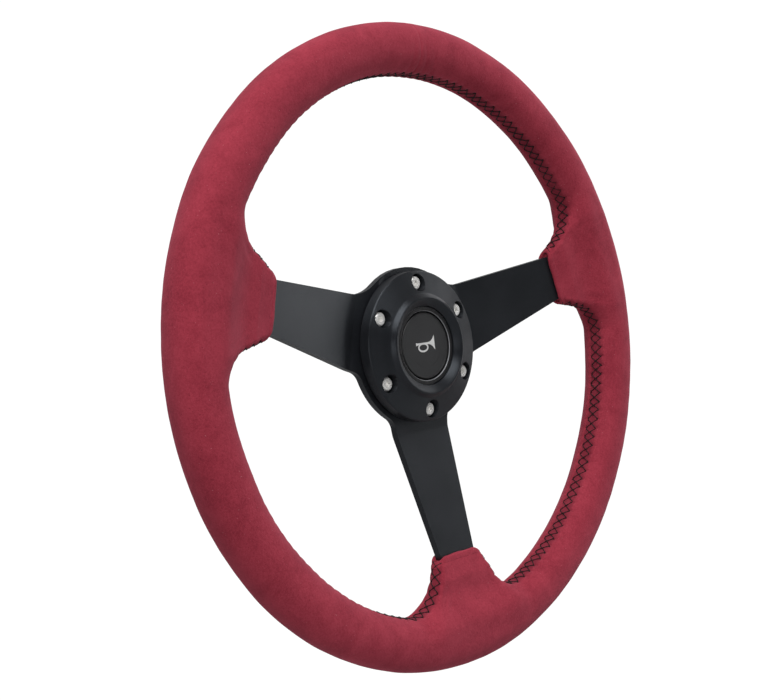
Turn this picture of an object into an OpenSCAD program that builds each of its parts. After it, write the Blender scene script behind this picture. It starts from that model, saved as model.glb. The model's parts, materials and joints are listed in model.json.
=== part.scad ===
// Three-spoke dished sports steering wheel with a sprung horn button.
// Frame: +Z is twelve o'clock, the wheel turns about Y, and the driver sits on the -Y side.
// Origin: centre of the bolt circle, on the mounting face at the back of the hub plate.
// Plan shapes are drawn as (x, z). Lathe profiles are (radius, height), where height is the
// distance from the mounting face towards the driver.

/* [Rim] */
// Outer diameter of the covered rim
rim_outer_d = 350; // [330:1:380]
// Thickness of the grip, measured over the suede
grip_d = 28; // [26:0.5:32]
// Height of the rim's centre plane above the mounting face
dish_h = 20.6; // [20:0.1:26]
// Thickness of the suede
suede_t = 1.2; // [1:0.1:1.4]
// Width of the flat steel core ring
core_w = 14; // [12:0.5:16]
// Thickness of the core ring
core_t = 5; // [4:0.5:6]

/* [Spokes] */
// Thickness of the aluminium spoke plate
plate_t = 4; // [3:0.5:4.5]
// Radius of the hub disc
hub_r = 44.5; // [44:0.5:46]
// Spoke width just outside the hub disc
spoke_root_w = 40.4; // [36:0.2:42]
// Spoke width at the sleeve
spoke_tip_w = 27; // [24:0.5:29]
// Distance from the axis to the forward bend
bend_u = 47; // [46:0.5:49]
// Distance from the axis to where the spoke levels out in the rim
level_u = 127; // [125:0.5:130]
// Corner radius between hub and spoke in the large upper window
top_fillet_r = 25; // [15:1:28]
// Corner radius between hub and spoke in the two lower windows
low_fillet_r = 9; // [6:0.5:12]
// Angle of the two upper spokes above the horizontal
spoke_rise = 15; // [12:0.5:18]

/* [Sleeves] */
// Distance from the axis to the suede hem on each spoke
hem_u = 114.5; // [112:0.5:117]
// Width of the sleeve at its hem
sleeve_w = 32; // [31:0.5:36]
// How fast each side of the sleeve widens towards the rim
sleeve_flare = 0.5; // [0.4:0.05:0.7]
// Padding over each face of the spoke at the hem, suede included
hem_pad = 2.3; // [2:0.1:3]
// Corner radius between a sleeve and the inside of the rim
sleeve_fillet_r = 12; // [11:1:18]

/* [Trim ring] */
// Outer diameter of the trim ring
ring_d = 83.5; // [82:0.5:86]
// Height of the ring's outer edge above the mounting face
ring_edge_h = 11.8; // [11:0.1:12.5]
// Height of the sloping face at the foot of the crest
ring_face_h = 14.7; // [14.2:0.1:15]
// Height of the rounded crest round the horn button
crest_h = 17.2; // [16.5:0.1:18]
// Radius of the crest
crest_r = 26.2; // [25:0.1:27.5]
// Height where the dish inside the crest meets the bore
dish_low_h = 14.2; // [13.8:0.1:15]
// Diameter of the bore that holds the horn button
ring_bore_d = 44; // [43.8:0.1:44.4]

/* [Mounting bolts] */
// Pitch circle of the six mounting bolts
bolt_pcd = 70; // [69:0.5:71]
// Thread diameter of the mounting bolts
bolt_d = 5; // [4:1:5]
// How far the bolts reach past the mounting face
bolt_reach = 6.5; // [5:0.5:10]

/* [Horn button] */
// Travel of the horn button
horn_travel = 2; // [1.5:0.1:2]
// Radius of the button's skirt, seen as its face
cap_r = 18.3; // [18:0.1:18.5]
// Height of the button's face above the mounting face
cap_h = 13.2; // [12.8:0.1:13.4]
// Height of the bezel's front edge
bezel_h = 13.6; // [13.4:0.1:13.9]
// Inner radius of the bezel
bezel_r = 19.2; // [19:0.1:19.4]

/* [Hidden] */
$fn = 96;
eps = 0.01;
wide = 400;

// Rim
grip_r = grip_d / 2;
rim_r = rim_outer_d / 2 - grip_r;
rim_in_r = rim_r - grip_r;
core_front_h = dish_h - 2;

// Spokes: [angle, corner radius on the anticlockwise side, corner radius on the clockwise side]
SPOKES = [
    [spoke_rise, top_fillet_r, low_fillet_r],
    [180 - spoke_rise, low_fillet_r, top_fillet_r],
    [270, low_fillet_r, low_fillet_r]
];
root_u = 50;
tip_u = 115;
taper = (spoke_root_w - spoke_tip_w) / 2 / (tip_u - root_u);
half_w0 = spoke_root_w / 2 + taper * root_u;
tab_half_w = 12;
tab_end_u = rim_r + 5;
plate_front_h = core_front_h + plate_t;
bend_slope = (plate_front_h - plate_t) / (level_u - bend_u);
bend_half = atan(bend_slope) / 2;
strip_start_u = 30;
strip_w = 62;
bend_r = 10;
corner_steps = 8;
hub_steps = 10;

// Rivets that hold the spoke tabs to the core ring
rivet_w = 6;
rivet_r = 2.5;
rivet_head_r = 4;
rivet_head_h = 1.8;

// Sleeve padding
foam_start = 4;
flare_u0 = hem_u + 3;
flare_u1 = rim_r - 4;
flare_gap = 0.4;
flare_steps = 8;
fillet_steps = 8;
fillet_bite = 1.2;
join_r = rim_in_r + fillet_bite;
// Where the rim's turned surface starts and ends, clear of every sleeve and panel joint
turn_start = 55;

// Stitching
stitch_h = 10;
stitch_t = 0.7;

// Hub
plate_hole_r = 27;
bolt_r = bolt_d / 2;
bolt_hole_r = bolt_r + 0.25;
bolt_shank_r = bolt_r - 0.25;
bolt_head_r = 3.9;
bolt_head_h = 3;
bolt_seat_h = 8.2;
counterbore_r = 5;
hex_r = 1.75;
hex_depth = 2;
ring_r = ring_d / 2;
ring_bore_r = ring_bore_d / 2;
ring_chamfer = 0.8;
crest_foot_r = 29.4;
crest_steps = 10;

// Horn button housing
tube_r = ring_bore_r - 0.3;
guide_r = 20.4;
lip_h = 10;
flange_r = plate_hole_r - 0.2;
flange_h0 = 1.5;
rear_r = 22.9;
rear_h = -6;
pocket_r = 21.2;
groove_r = 21.9;
groove_h0 = -4.2;
clip_r0 = 18.5;
edge = 0.4;
housing_screw_pcr = 24.9;
housing_screw_r = 1.25;
housing_screw_head_r = 1.9;
housing_screw_top_h = 9;
THIRDS = [0, 120, 240];

// Contacts
base_t = 3;
ring_contact_r0 = 10.2;
ring_contact_r1 = 12.6;
ring_contact_t = 0.9;
seat_r = 9.2;
seat_t = 0.6;
blade_w = 6.3;
blade_t = 0.8;
blade_len = 8;
signal_x = (ring_contact_r0 + ring_contact_r1) / 2;
small_rivet_r = 0.9;
small_head_r = 1.8;
small_head_h = 0.7;

// Horn button
skirt_t = 1.7;
contact_plate_t = 0.8;
contact_gap = 0.3;
cap_bottom_h = ring_contact_t + contact_plate_t + horn_travel + contact_gap;
cap_lip_r = 20.1;
cap_lip_h1 = lip_h - 0.2;
cap_lip_h0 = 8;
face_under_h = 10;
badge_r = 17.4;
badge_t = 0.8;
spring_guide_r = 6.2;
spring_guide_h = 5;
post_r = 1.6;
post_pcr = 14.8;
plate_screw_r = 0.8;
plate_screw_top_h = 8;
contact_plate_r = 17.5;
contact_hole_r = 9.4;

// Spring
spring_r = 7.4;
wire_r = 0.45;
spring_h0 = seat_t + 0.05;
spring_h1 = face_under_h - 0.1;
spring_turns = 5;
spring_sides = 8;
spring_steps = 24;

// Height of the spoke's front face at distance u from the axis
function front_h(u) = plate_t + min(max(u - bend_u, 0), level_u - bend_u) * bend_slope;
// The same for its back face, one plate thickness away along the normal
function back_h(u) = front_h(u) - plate_t / cos(2 * bend_half);
// Smooth step from 0 to 1 between a and b
function ease(u, a, b) = let (t = min(max((u - a) / (b - a), 0), 1)) t * t * (3 - 2 * t);
// Points of an arc with centre c, radius r, from angle a0 to a1 in n steps
function arc(c, r, a0, a1, n) =
    [for (i = [0:n]) let (a = a0 + (a1 - a0) * i / n) c + r * [cos(a), sin(a)]];

// Turn a flat plan shape into a slab between two heights
module slab(h0, h1) {
    rotate([90, 0, 0]) translate([0, 0, h0]) linear_extrude(h1 - h0) children();
}

// Turn a (radius, height) profile about the wheel's axis
module lathe() {
    rotate([90, 0, 0]) rotate_extrude() children();
}

// A round rod along the wheel's axis at plan position p
module rod(p, r, h0, h1) {
    translate([p[0], 0, p[1]]) rotate([90, 0, 0]) translate([0, 0, h0]) cylinder(r = r, h = h1 - h0);
}

// Place children at angle a round the wheel's axis
module at_angle(a) {
    rotate([0, -a, 0]) children();
}

module at_bolts() {
    for (a = [30:60:330]) at_angle(a) children();
}

// Centre of the corner of radius r between the hub disc and one edge of a spoke, as (u, w)
function corner(r) =
    let (
        k = sqrt(1 + taper * taper),
        d = half_w0 / k + r
    )
    d * [taper, 1] / k + sqrt(pow(hub_r + r, 2) - d * d) * [1, -taper] / k;
function bearing(p) = atan2(p[1], p[0]);
function turned(p, a) = [p[0] * cos(a) - p[1] * sin(a), p[0] * sin(a) + p[1] * cos(a)];

// One edge of a spoke from the hub disc to the end of its tab, with a corner of radius r
function edge_path(r) = concat(
    arc(corner(r), r, bearing(corner(r)) - 180, -90 - atan(taper), corner_steps),
    [
        [level_u, half_w0 - taper * level_u], [level_u, tab_half_w],
        [tab_end_u, tab_half_w]
    ]
);

// Outline of the whole frame: each spoke in turn, then the hub disc's rim up to the next one
function frame_outline() = [
    for (i = [0:2])
        let (
            s = SPOKES[i],
            next = SPOKES[(i + 1) % 3],
            right = edge_path(s[2]),
            left = edge_path(s[1]),
            a0 = s[0] + bearing(corner(s[1])),
            a1 = next[0] - bearing(corner(next[2])) + (i == 2 ? 360 : 0)
        )
        each concat(
            [for (p = right) turned([p[0], -p[1]], s[0])],
            [for (j = [len(left) - 1:-1:0]) turned(left[j], s[0])],
            [for (j = [1:hub_steps - 1]) hub_r * turned([1, 0], a0 + (a1 - a0) * j / hub_steps)]
        )
];

// Side view of the bent plate, from inside the hub disc to the tab's end
module spoke_side() {
    a = 2 * bend_half;
    reach_out = bend_r * tan(bend_half);
    reach_in = (bend_r + plate_t) * tan(bend_half);
    c1 = [bend_u + plate_t * tan(bend_half) - reach_in, -plate_t - bend_r];
    c2 = [level_u + reach_out, -plate_front_h + bend_r + plate_t];
    polygon(concat(
        [[strip_start_u, 0]],
        arc(c1, bend_r + plate_t, 90, 90 - a, 4),
        arc(c2, bend_r, 270 - a, 270, 4),
        [[tab_end_u, -plate_front_h + plate_t], [tab_end_u, -plate_front_h]],
        arc(c2, bend_r + plate_t, 270, 270 - a, 4),
        arc(c1, bend_r, 90 - a, 90, 4),
        [[strip_start_u, -plate_t]]
    ));
}

// The bent plate before drilling: its outline cut from a flat hub zone and three bent strips
module frame_plate() {
    intersection() {
        slab(0, plate_front_h) polygon(frame_outline());
        union() {
            rod([0, 0], hub_r + 1, 0, plate_t);
            for (s = SPOKES) at_angle(s[0]) linear_extrude(strip_w, center = true) spoke_side();
        }
    }
}

module spoke_frame() color("#2b2c2f") difference() {
    frame_plate();
    rod([0, 0], plate_hole_r, -1, plate_t + 1);
    at_bolts() rod([bolt_pcd / 2, 0], bolt_hole_r, -1, plate_t + 1);
    at_rivets() rod([rim_r, 0], rivet_r, 0, wide);
}

// Two rivets at each spoke, both on the core ring's centreline
module at_rivets() {
    turn = asin(rivet_w / rim_r);
    for (s = SPOKES, side = [-1, 1]) at_angle(s[0] + side * turn) children();
}

module rim_core() color("#8a8d90") difference() {
    lathe() translate([rim_r - core_w / 2, core_front_h - core_t]) square([core_w, core_t]);
    at_rivets() rod([rim_r, 0], rivet_r, 0, wide);
}

module rim_rivets() color("#b9bcc0") at_rivets() {
    rod([rim_r, 0], rivet_r, core_front_h - core_t, plate_front_h);
    rod([rim_r, 0], rivet_head_r, plate_front_h, plate_front_h + rivet_head_h);
    rod([rim_r, 0], rivet_head_r, core_front_h - core_t - rivet_head_h, core_front_h - core_t);
}

// Centre of the corner between one side of a sleeve and the inside of the rim, as (u, w)
sleeve_k = sqrt(1 + pow(sleeve_flare, 2));
sleeve_d = (sleeve_w / 2 - sleeve_flare * hem_u) / sleeve_k + sleeve_fillet_r;
sleeve_corner = sleeve_d * [-sleeve_flare, 1] / sleeve_k
    + sqrt(pow(join_r - sleeve_fillet_r, 2) - pow(sleeve_d, 2)) * [1, sleeve_flare] / sleeve_k;

// Plan of one sleeve, shrunk by t, with its corners rounded into the inside of the rim
module sleeve_plan(t) {
    start = hem_u + (t > 0 ? foam_start : 0);
    edge_points = concat(
        [[start, sleeve_w / 2 + sleeve_flare * (start - hem_u) - t * sleeve_k]],
        arc(sleeve_corner, sleeve_fillet_r + t, atan2(-1, sleeve_flare),
            bearing(sleeve_corner), fillet_steps),
        [[flare_u1, sleeve_corner[1] * join_r / (join_r - sleeve_fillet_r)]]
    );
    last = len(edge_points) - 1;
    polygon(concat(edge_points, [for (i = [last:-1:0]) [edge_points[i][0], -edge_points[i][1]]]));
}

// Side view of one sleeve, shrunk by t: it hugs the plate at the hem and swells into the rim
module sleeve_side(t) {
    start = hem_u + (t > 0 ? foam_start : 0);
    top = dish_h + sqrt(pow(grip_r, 2) - pow(rim_r - flare_u1, 2)) - flare_gap;
    low = 2 * dish_h - top;
    function mix_h(u, h, target) = let (k = ease(u, flare_u0, flare_u1)) h * (1 - k) + target * k;
    us = [for (i = [0:flare_steps]) start + (flare_u1 - start) * i / flare_steps];
    polygon(concat(
        [for (u = us) [u, -mix_h(u, front_h(u) + hem_pad, top) + t]],
        [for (i = [flare_steps:-1:0])
            [us[i], -mix_h(us[i], back_h(us[i]) - hem_pad, low) - t]]
    ));
}

// Outer form of the padded rim with its three sleeves, shrunk by t
module rim_form(t) {
    at_angle(turn_start) lathe() translate([rim_r, dish_h]) circle(r = grip_r - t);
    for (s = SPOKES) at_angle(s[0]) intersection() {
        slab(0, 2 * dish_h) sleeve_plan(t);
        linear_extrude(wide, center = true) sleeve_side(t);
    }
}

module rim_foam() color("#3b3b3d") difference() {
    rim_form(suede_t);
    frame_plate();
    rim_core();
    rim_rivets();
}

// Suede panel on one side of the wheel: side is -1 for left and 1 for right
module cover_half(side) {
    color("#8e3646") difference() {
        rim_form(0);
        rim_form(suede_t);
        frame_plate();
        translate([side > 0 ? -wide : 0, -wide / 2, -wide / 2]) cube(wide);
    }
}

module cover_left() cover_half(-1);
module cover_right() cover_half(1);

// Band of cross-stitching on the inside of the rim, from angle a0 to a1
module stitch_band(a0, a1) {
    color("#141213") at_angle(a0) rotate([90, 0, 0]) rotate_extrude(angle = a1 - a0) difference() {
        translate([rim_in_r - stitch_t, dish_h - stitch_h / 2]) square([2 * stitch_t + 1, stitch_h]);
        translate([rim_r, dish_h]) circle(r = grip_r);
    }
}

sleeve_span = bearing(sleeve_corner) + 1;
module stitch_top() stitch_band(spoke_rise + sleeve_span, 180 - spoke_rise - sleeve_span);
module stitch_lower_left() stitch_band(180 - spoke_rise + sleeve_span, 270 - sleeve_span);
module stitch_lower_right() stitch_band(270 + sleeve_span, 360 + spoke_rise - sleeve_span);

// Height of the ring's front inside the crest's foot: up to the crest, then down the dish to the bore
function ring_front_h(r) = r > crest_r
    ? crest_h - (crest_h - ring_face_h) * ease(r, crest_r, crest_foot_r)
    : crest_h - (crest_h - dish_low_h) * pow((crest_r - r) / (crest_r - ring_bore_r), 1.4);

module trim_ring() color("#1d1e20") difference() {
    lathe() polygon(concat(
        [
            [ring_bore_r, plate_t], [ring_r - ring_chamfer, plate_t],
            [ring_r, plate_t + ring_chamfer], [ring_r, ring_edge_h - ring_chamfer],
            [ring_r - ring_chamfer, ring_edge_h]
        ],
        [
            for (i = [0:2 * crest_steps])
                let (
                    k = i / crest_steps,
                    r = k < 1 ? crest_foot_r + (crest_r - crest_foot_r) * k
                        : crest_r + (ring_bore_r - crest_r) * (k - 1)
                )
                [r, ring_front_h(r)]
        ]
    ));
    at_bolts() {
        rod([bolt_pcd / 2, 0], bolt_hole_r, 0, wide);
        rod([bolt_pcd / 2, 0], counterbore_r, bolt_seat_h, wide);
    }
    at_housing_screws() rod([housing_screw_pcr, 0], housing_screw_r, 0, housing_screw_top_h);
}

module hub_screws() color("#c9ccd0") at_bolts() translate([bolt_pcd / 2, 0, 0]) difference() {
    lathe() polygon([
        [0, -bolt_reach], [bolt_r - edge, -bolt_reach], [bolt_r, edge - bolt_reach],
        [bolt_r, 0], [bolt_shank_r, 0], [bolt_shank_r, bolt_seat_h], [bolt_head_r, bolt_seat_h],
        [bolt_head_r, bolt_seat_h + bolt_head_h - 2 * edge],
        [bolt_head_r - 2 * edge, bolt_seat_h + bolt_head_h], [0, bolt_seat_h + bolt_head_h]
    ]);
    rotate([90, 0, 0]) translate([0, 0, bolt_seat_h + bolt_head_h - hex_depth])
        cylinder(r = hex_r, h = wide, $fn = 6);
}

module at_housing_screws() {
    for (a = THIRDS) at_angle(a) children();
}

module horn_housing() color("#17181a") difference() {
    lathe() polygon([
        [bezel_r, lip_h], [bezel_r, bezel_h - edge], [bezel_r + edge, bezel_h],
        [tube_r - edge, bezel_h], [tube_r, bezel_h - edge],
        [tube_r, plate_t - eps], [flange_r, plate_t - eps], [flange_r, flange_h0],
        [rear_r, flange_h0], [rear_r, rear_h], [pocket_r, rear_h], [pocket_r, groove_h0],
        [groove_r, groove_h0], [groove_r, -base_t], [pocket_r, -base_t], [pocket_r, 0],
        [guide_r, 0], [guide_r, lip_h]
    ]);
    at_housing_screws() rod([housing_screw_pcr, 0], housing_screw_r, 0, wide);
}

module housing_screws() color("#9a9da1") at_housing_screws() {
    rod([housing_screw_pcr, 0], housing_screw_r, flange_h0 - eps, housing_screw_top_h - 0.5);
    rod([housing_screw_pcr, 0], housing_screw_head_r, 0.1, flange_h0);
}

module contact_base() color("#6b4a2d") difference() {
    rod([0, 0], pocket_r - 0.05, -base_t, 0);
    rod([0, 0], small_rivet_r, -wide, wide);
    rod([signal_x, 0], small_rivet_r, -wide, wide);
}

module base_clip() color("#a5a8ac") difference() {
    lathe() translate([clip_r0, groove_h0 + 0.1]) square([groove_r - clip_r0 - 0.1, 1]);
    translate([0, 0, -clip_r0 - 2]) cube([8, wide, 8], center = true);
}

module contact_ring() color("#c39a4a") difference() {
    lathe() translate([ring_contact_r0, 0]) square([ring_contact_r1 - ring_contact_r0, ring_contact_t]);
    rod([signal_x, 0], small_rivet_r, -wide, wide);
}

module spring_seat() color("#c39a4a") difference() {
    rod([0, 0], seat_r, 0, seat_t);
    rod([0, 0], small_rivet_r, -wide, wide);
}

// Spade terminal: a foot on the back of the base with a blade that points away from the driver
module terminal(hole_x, foot_end_x, blade_x) {
    x0 = min(foot_end_x, blade_x);
    x1 = max(foot_end_x, blade_x + blade_t);
    color("#c9a75a") difference() {
        union() {
            translate([x0, base_t, -blade_w / 2]) cube([x1 - x0, blade_t, blade_w]);
            translate([blade_x, base_t, -blade_w / 2]) cube([blade_t, blade_t + blade_len, blade_w]);
        }
        rod([hole_x, 0], small_rivet_r, -wide, wide);
        translate([blade_x - 1, base_t + blade_len - 2, 0]) rotate([0, 90, 0]) cylinder(r = 0.8, h = 3);
    }
}

module signal_terminal() terminal(signal_x, signal_x - 3, signal_x + 2.6);
module ground_terminal() terminal(0, 3, -7);

// Rivet through the base, with its tail over a terminal foot
module base_rivet(x, top_h) {
    rod([x, 0], small_rivet_r, -base_t - blade_t, top_h);
    rod([x, 0], small_head_r, -base_t - blade_t - small_head_h, -base_t - blade_t);
}

module signal_rivet() color("#b98a3c") base_rivet(signal_x, ring_contact_t);
module ground_rivet() color("#b98a3c") {
    base_rivet(0, seat_t);
    rod([0, 0], small_head_r, seat_t, seat_t + small_head_h);
}

// Coil spring as one swept tube, with flat-lying end turns
module horn_spring() {
    n = spring_turns * spring_steps;
    rise = spring_h1 - spring_h0 - 2 * wire_r;
    function coil_h(t) = spring_h0 + wire_r + rise * ease(t, 0.06, 0.94);
    points = [
        for (i = [0:n], j = [0:spring_sides - 1])
            let (
                a = 360 * i / spring_steps,
                b = 360 * j / spring_sides,
                r = spring_r + wire_r * cos(b)
            )
            [r * cos(a), -coil_h(i / n) - wire_r * sin(b), r * sin(a)]
    ];
    last = n * spring_sides;
    sides = [
        for (i = [0:n - 1], j = [0:spring_sides - 1])
            let (p = i * spring_sides + j, q = i * spring_sides + (j + 1) % spring_sides)
            [p, p + spring_sides, q + spring_sides, q]
    ];
    color("#b4b7bb") polyhedron(points, concat(
        sides,
        [[for (j = [0:spring_sides - 1]) j]],
        [[for (j = [spring_sides - 1:-1:0]) last + j]]
    ));
}

module at_posts() {
    for (a = THIRDS) at_angle(a + 60) children();
}

module horn_cap() color("#202124") difference() {
    union() {
        lathe() polygon([
            [0, face_under_h], [cap_r - skirt_t, face_under_h], [cap_r - skirt_t, cap_bottom_h],
            [cap_r, cap_bottom_h], [cap_r, cap_lip_h0], [cap_lip_r, cap_lip_h0],
            [cap_lip_r, cap_lip_h1], [cap_r, cap_lip_h1], [cap_r, cap_h - edge],
            [cap_r - edge, cap_h], [0, cap_h]
        ]);
        rod([0, 0], spring_guide_r, spring_guide_h, face_under_h + 1);
        at_posts() rod([post_pcr, 0], post_r, cap_bottom_h, face_under_h + 1);
    }
    rod([0, 0], badge_r, cap_h - badge_t, wide);
    at_posts() rod([post_pcr, 0], plate_screw_r, 0, plate_screw_top_h + 0.5);
}

module badge_disc() color("#3a3b3e") rod([0, 0], badge_r, cap_h - badge_t, cap_h - 0.1);

module contact_plate() color("#c39a4a") difference() {
    rod([0, 0], contact_plate_r, cap_bottom_h - contact_plate_t, cap_bottom_h);
    rod([0, 0], contact_hole_r, 0, cap_h);
    at_posts() rod([post_pcr, 0], plate_screw_r, 0, cap_h);
}

module plate_screws() color("#b4b7bb") at_posts() {
    rod([post_pcr, 0], plate_screw_r, cap_bottom_h - contact_plate_t - eps, plate_screw_top_h);
    rod([post_pcr, 0], 1.5, cap_bottom_h - contact_plate_t - 0.8, cap_bottom_h - contact_plate_t);
}

spoke_frame();
rim_core();
rim_rivets();
rim_foam();
cover_left();
cover_right();
stitch_top();
stitch_lower_left();
stitch_lower_right();
trim_ring();
hub_screws();
horn_housing();
housing_screws();
contact_base();
base_clip();
contact_ring();
spring_seat();
signal_terminal();
ground_terminal();
signal_rivet();
ground_rivet();
horn_spring();
horn_cap();
badge_disc();
contact_plate();
plate_screws();
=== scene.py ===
"""Looks of a dished three-spoke steering wheel: suede grip, cross-stitching, satin black metal.

Shapes are worked out in millimetres as (x, z, h), where h is the distance from the mounting face
towards the driver, and are turned into the part's frame (x, -h, z) in metres when a mesh is made.
"""
import json
import math

import bpy
import numpy as np
from mathutils import Matrix, Vector
from mathutils.kdtree import KDTree


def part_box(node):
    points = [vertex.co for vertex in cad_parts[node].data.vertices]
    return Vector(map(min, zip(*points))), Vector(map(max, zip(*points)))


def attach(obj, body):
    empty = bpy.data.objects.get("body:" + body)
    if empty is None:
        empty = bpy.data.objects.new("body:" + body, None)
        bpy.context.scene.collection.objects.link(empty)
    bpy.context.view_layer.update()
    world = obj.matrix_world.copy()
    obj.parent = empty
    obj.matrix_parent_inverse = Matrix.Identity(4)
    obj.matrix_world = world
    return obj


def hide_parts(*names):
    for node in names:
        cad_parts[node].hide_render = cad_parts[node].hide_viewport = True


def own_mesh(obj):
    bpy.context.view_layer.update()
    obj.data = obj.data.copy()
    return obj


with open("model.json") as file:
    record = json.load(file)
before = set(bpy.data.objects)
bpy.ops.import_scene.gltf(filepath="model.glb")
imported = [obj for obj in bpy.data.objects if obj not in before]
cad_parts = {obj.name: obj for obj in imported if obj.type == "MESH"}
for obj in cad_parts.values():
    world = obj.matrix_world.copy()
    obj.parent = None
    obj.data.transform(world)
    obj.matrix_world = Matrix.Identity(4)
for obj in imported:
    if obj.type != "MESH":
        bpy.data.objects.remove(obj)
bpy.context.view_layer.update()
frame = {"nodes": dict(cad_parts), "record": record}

MM = 0.001
rng = np.random.default_rng(7)

# Rim section: a slightly squared ellipse
RIM_R, DISH_H = 161.0, 20.6
GRIP_A, GRIP_B, GRIP_N = 14.0, 13.5, 2.3
RIM_IN_R = RIM_R - GRIP_A
# Spoke plate
PLATE_T, BEND_U, LEVEL_U, SLOPE = 4.0, 47.0, 127.0, 0.2325
SPOKES = (15.0, 165.0, 270.0)
# Sleeves over the spokes
HEM_U, HEM_HALF_W, HEM_HALF_T, FLARE = 114.5, 16.0, 4.4, 0.5
EDGE_R, BLEND_R, BODY_START = 3.8, 13.5, 2.2
SLEEVE_END_U = 148.0
# How much thicker each face of a sleeve's padding gets on its way to the rim
PADDING_GROWTH = 3.2
# How far the hem draws back at its corners, and how wide each corner is
SETBACK, SETBACK_W = 2.2, 5.0
# Stitching: distance of each row of holes from the seam, on the rim and on the sleeves
ROW_V, SLEEVE_ROW_V, STITCH_PITCH, THREAD_R = 3.8, 3.5, 5.7, 0.27
# How far the seam lies from the middle of the tube, towards the driver
SEAM_V = 0.8
RIBBON_DS, RIBBON_DV, RIBBON_V = 0.6, 0.5, 9.0


# ---------------------------------------------------------------- shape of the padded rim

def front_h(u):
    return PLATE_T + np.clip(u - BEND_U, 0, LEVEL_U - BEND_U) * SLOPE


def mid_h(u):
    return front_h(u) - PLATE_T / math.cos(math.atan(SLOPE)) / 2


def rim_field(x, z, h):
    a = np.abs(np.hypot(x, z) - RIM_R) / GRIP_A
    b = np.abs(h - DISH_H) / GRIP_B
    return ((a**GRIP_N + b**GRIP_N + 1e-9) ** (1 / GRIP_N) - 1) * GRIP_B


def smooth_max(a, b, r):
    return np.maximum(a, b) + np.maximum(r - np.abs(a - b), 0) ** 2 / (4 * r)


def hem_setback(w, half_w):
    """How far the hem draws back towards the rim at its corners."""
    return SETBACK * np.clip((np.abs(w) - half_w) / SETBACK_W + 1, 0, 1) ** 2


def sleeve_field(x, z, h, angle, start):
    c, s = math.cos(math.radians(angle)), math.sin(math.radians(angle))
    u, w = x * c + z * s, z * c - x * s
    half_w = HEM_HALF_W + FLARE * np.clip(u - HEM_U, -2, 32)
    half_t = HEM_HALF_T + PADDING_GROWTH * step01(u, HEM_U + 3, RIM_R - 4)
    a = (np.abs(w) - half_w) / math.hypot(1, FLARE) + EDGE_R
    b = np.abs(h - mid_h(u)) - half_t + EDGE_R
    d = np.hypot(np.maximum(a, 0), np.maximum(b, 0)) + np.minimum(np.maximum(a, b), 0) - EDGE_R
    d = smooth_max(d, HEM_U + start + hem_setback(w, half_w) - u, 1.6)
    e = u - SLEEVE_END_U
    return np.hypot(np.maximum(d, 0), np.maximum(e, 0)) + np.minimum(np.maximum(d, e), 0)


def round_union(a, b, r):
    return np.maximum(r, np.minimum(a, b)) - np.hypot(np.maximum(r - a, 0), np.maximum(r - b, 0))


def cover_field(x, z, h, start=BODY_START):
    d = rim_field(x, z, h)
    for angle in SPOKES:
        d = round_union(d, sleeve_field(x, z, h, angle, start), BLEND_R)
    return d


def gradient(field, p, e=0.03):
    g = np.empty_like(p)
    for k in range(3):
        q = p.copy()
        q[:, k] += e
        hi = field(q[:, 0], q[:, 1], q[:, 2])
        q[:, k] -= 2 * e
        g[:, k] = (hi - field(q[:, 0], q[:, 1], q[:, 2])) / (2 * e)
    return g


def unit(v):
    return v / np.maximum(np.linalg.norm(v, axis=-1, keepdims=True), 1e-9)


def project(field, p, steps=1, level=0.0):
    for _ in range(steps):
        g = gradient(field, p)
        f = field(p[:, 0], p[:, 1], p[:, 2]) - level
        move = np.clip(f / np.maximum((g * g).sum(1), 0.05), -0.8, 0.8)
        p = p - move[:, None] * g
    return p


def surface_net(field, axes, level=0.0):
    """Quads round the surface where field equals level, from its values on a grid."""
    x, z, h = np.meshgrid(*axes, indexing="ij", sparse=True)
    f = (field(x, z, h) - level).astype(np.float32)
    inside = f < 0
    lo, hi = slice(None, -1), slice(1, None)
    count = sum(
        inside[i, j, k].astype(np.uint8) for i in (lo, hi) for j in (lo, hi) for k in (lo, hi)
    )
    active = (count > 0) & (count < 8)
    cells = np.argwhere(active)
    ids = np.full(active.shape, -1, np.int32)
    ids[active] = np.arange(len(cells))
    total, hits = np.zeros((len(cells), 3)), np.zeros(len(cells))
    for axis in range(3):
        others = [k for k in range(3) if k != axis]
        for o1 in (0, 1):
            for o2 in (0, 1):
                a = cells.copy()
                a[:, others[0]] += o1
                a[:, others[1]] += o2
                b = a.copy()
                b[:, axis] += 1
                fa, fb = f[tuple(a.T)], f[tuple(b.T)]
                cross = (fa < 0) != (fb < 0)
                t = np.where(cross, fa / np.where(cross, fa - fb, 1), 0)
                for k in range(3):
                    pa, pb = axes[k][a[:, k]], axes[k][b[:, k]]
                    total[:, k] += np.where(cross, pa + t * (pb - pa), 0)
                hits += cross
    verts = total / hits[:, None]
    quads = []
    for axis in range(3):
        a1, a2 = (axis + 1) % 3, (axis + 2) % 3
        first = [slice(None)] * 3
        second = [slice(None)] * 3
        first[axis], second[axis] = lo, hi
        s0, s1 = inside[tuple(first)], inside[tuple(second)]
        points = np.argwhere(s0 != s1)
        keep = (points[:, a1] > 0) & (points[:, a2] > 0)
        points = points[keep]
        loop = []
        for d1, d2 in ((-1, -1), (0, -1), (0, 0), (-1, 0)):
            q = points.copy()
            q[:, a1] += d1
            q[:, a2] += d2
            loop.append(ids[tuple(q.T)])
        quad = np.stack(loop, 1)
        flip = ~s0[tuple(points.T)]
        quad[flip] = quad[flip][:, ::-1]
        quads.append(quad)
    return verts, np.concatenate(quads)


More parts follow.
